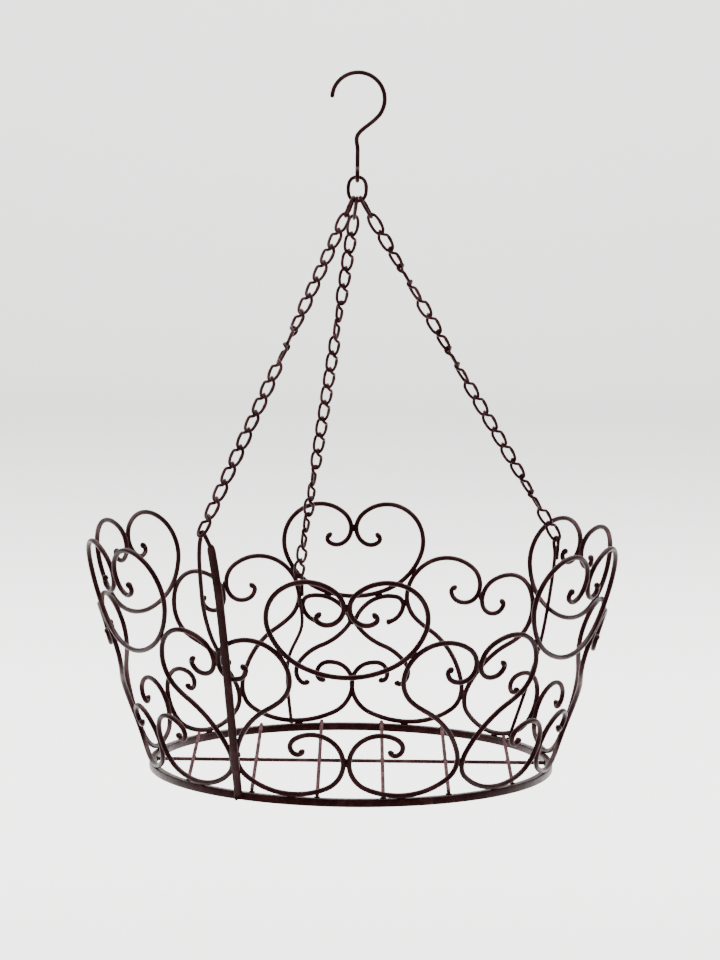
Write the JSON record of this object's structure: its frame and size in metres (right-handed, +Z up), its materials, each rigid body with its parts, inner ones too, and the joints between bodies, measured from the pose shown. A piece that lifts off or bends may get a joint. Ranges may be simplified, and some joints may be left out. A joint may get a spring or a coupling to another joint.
{
  "type": "hanging planter basket",
  "caption": "Hanging planter basket of scrolled iron rod with heart-shaped panels, a barred round base and link chains gathered on a ring below an open hook.",
  "frame": {"origin": "centre of the base ring, at the height of its underside", "axes": "+Z up along the line the basket hangs on, -Y towards the front of the picture, +X to the right as seen from the front"},
  "size_m": [0.4127, 0.4248, 0.5464],
  "materials": {
    "painted_iron": "dark antique brown paint, satin, slightly uneven",
    "chain_iron": "dark brown painted chain wire, satin",
    "hook_wire": "dark brown painted steel wire, satin"
  },
  "bodies": {
    "hook": {"hook": "hook_wire"},
    "hanger_ring": {"hanger_ring": "hook_wire"},
    "basket": {"base_ring": "painted_iron", "cross_rod": "painted_iron", "base_rod_1": "painted_iron", "base_rod_2": "painted_iron", "base_rod_3": "painted_iron", "base_rod_4": "painted_iron", "base_rod_5": "painted_iron", "base_rod_6": "painted_iron", "upright_left": "painted_iron", "upright_right": "painted_iron", "upright_back": "painted_iron", "heart_front": "painted_iron", "heart_front_right": "painted_iron", "heart_back_right": "painted_iron", "heart_back": "painted_iron", "heart_back_left": "painted_iron", "heart_front_left": "painted_iron", "scroll_front_l": "painted_iron", "scroll_front_r": "painted_iron", "scroll_front_right_l": "painted_iron", "scroll_front_right_r": "painted_iron", "scroll_back_right_l": "painted_iron", "scroll_back_right_r": "painted_iron", "scroll_back_l": "painted_iron", "scroll_back_r": "painted_iron", "scroll_back_left_l": "painted_iron", "scroll_back_left_r": "painted_iron", "scroll_front_left_l": "painted_iron", "scroll_front_left_r": "painted_iron", "filler_l": "painted_iron", "filler_r": "painted_iron", "chain_left": "chain_iron", "chain_right": "chain_iron", "chain_back": "chain_iron"}
  },
  "joints": [
    {"name": "hook_swing", "type": "hinge", "parent": "hook", "child": "hanger_ring", "pos_m": [0, 0, 0.46135], "axis": [0, 1, 0], "range_deg": [-25, 25]},
    {"name": "ring_swing", "type": "hinge", "parent": "hanger_ring", "child": "basket", "pos_m": [0, 0, 0.4457], "axis": [1, 0, 0], "range_deg": [-20, 20]}
  ]
}
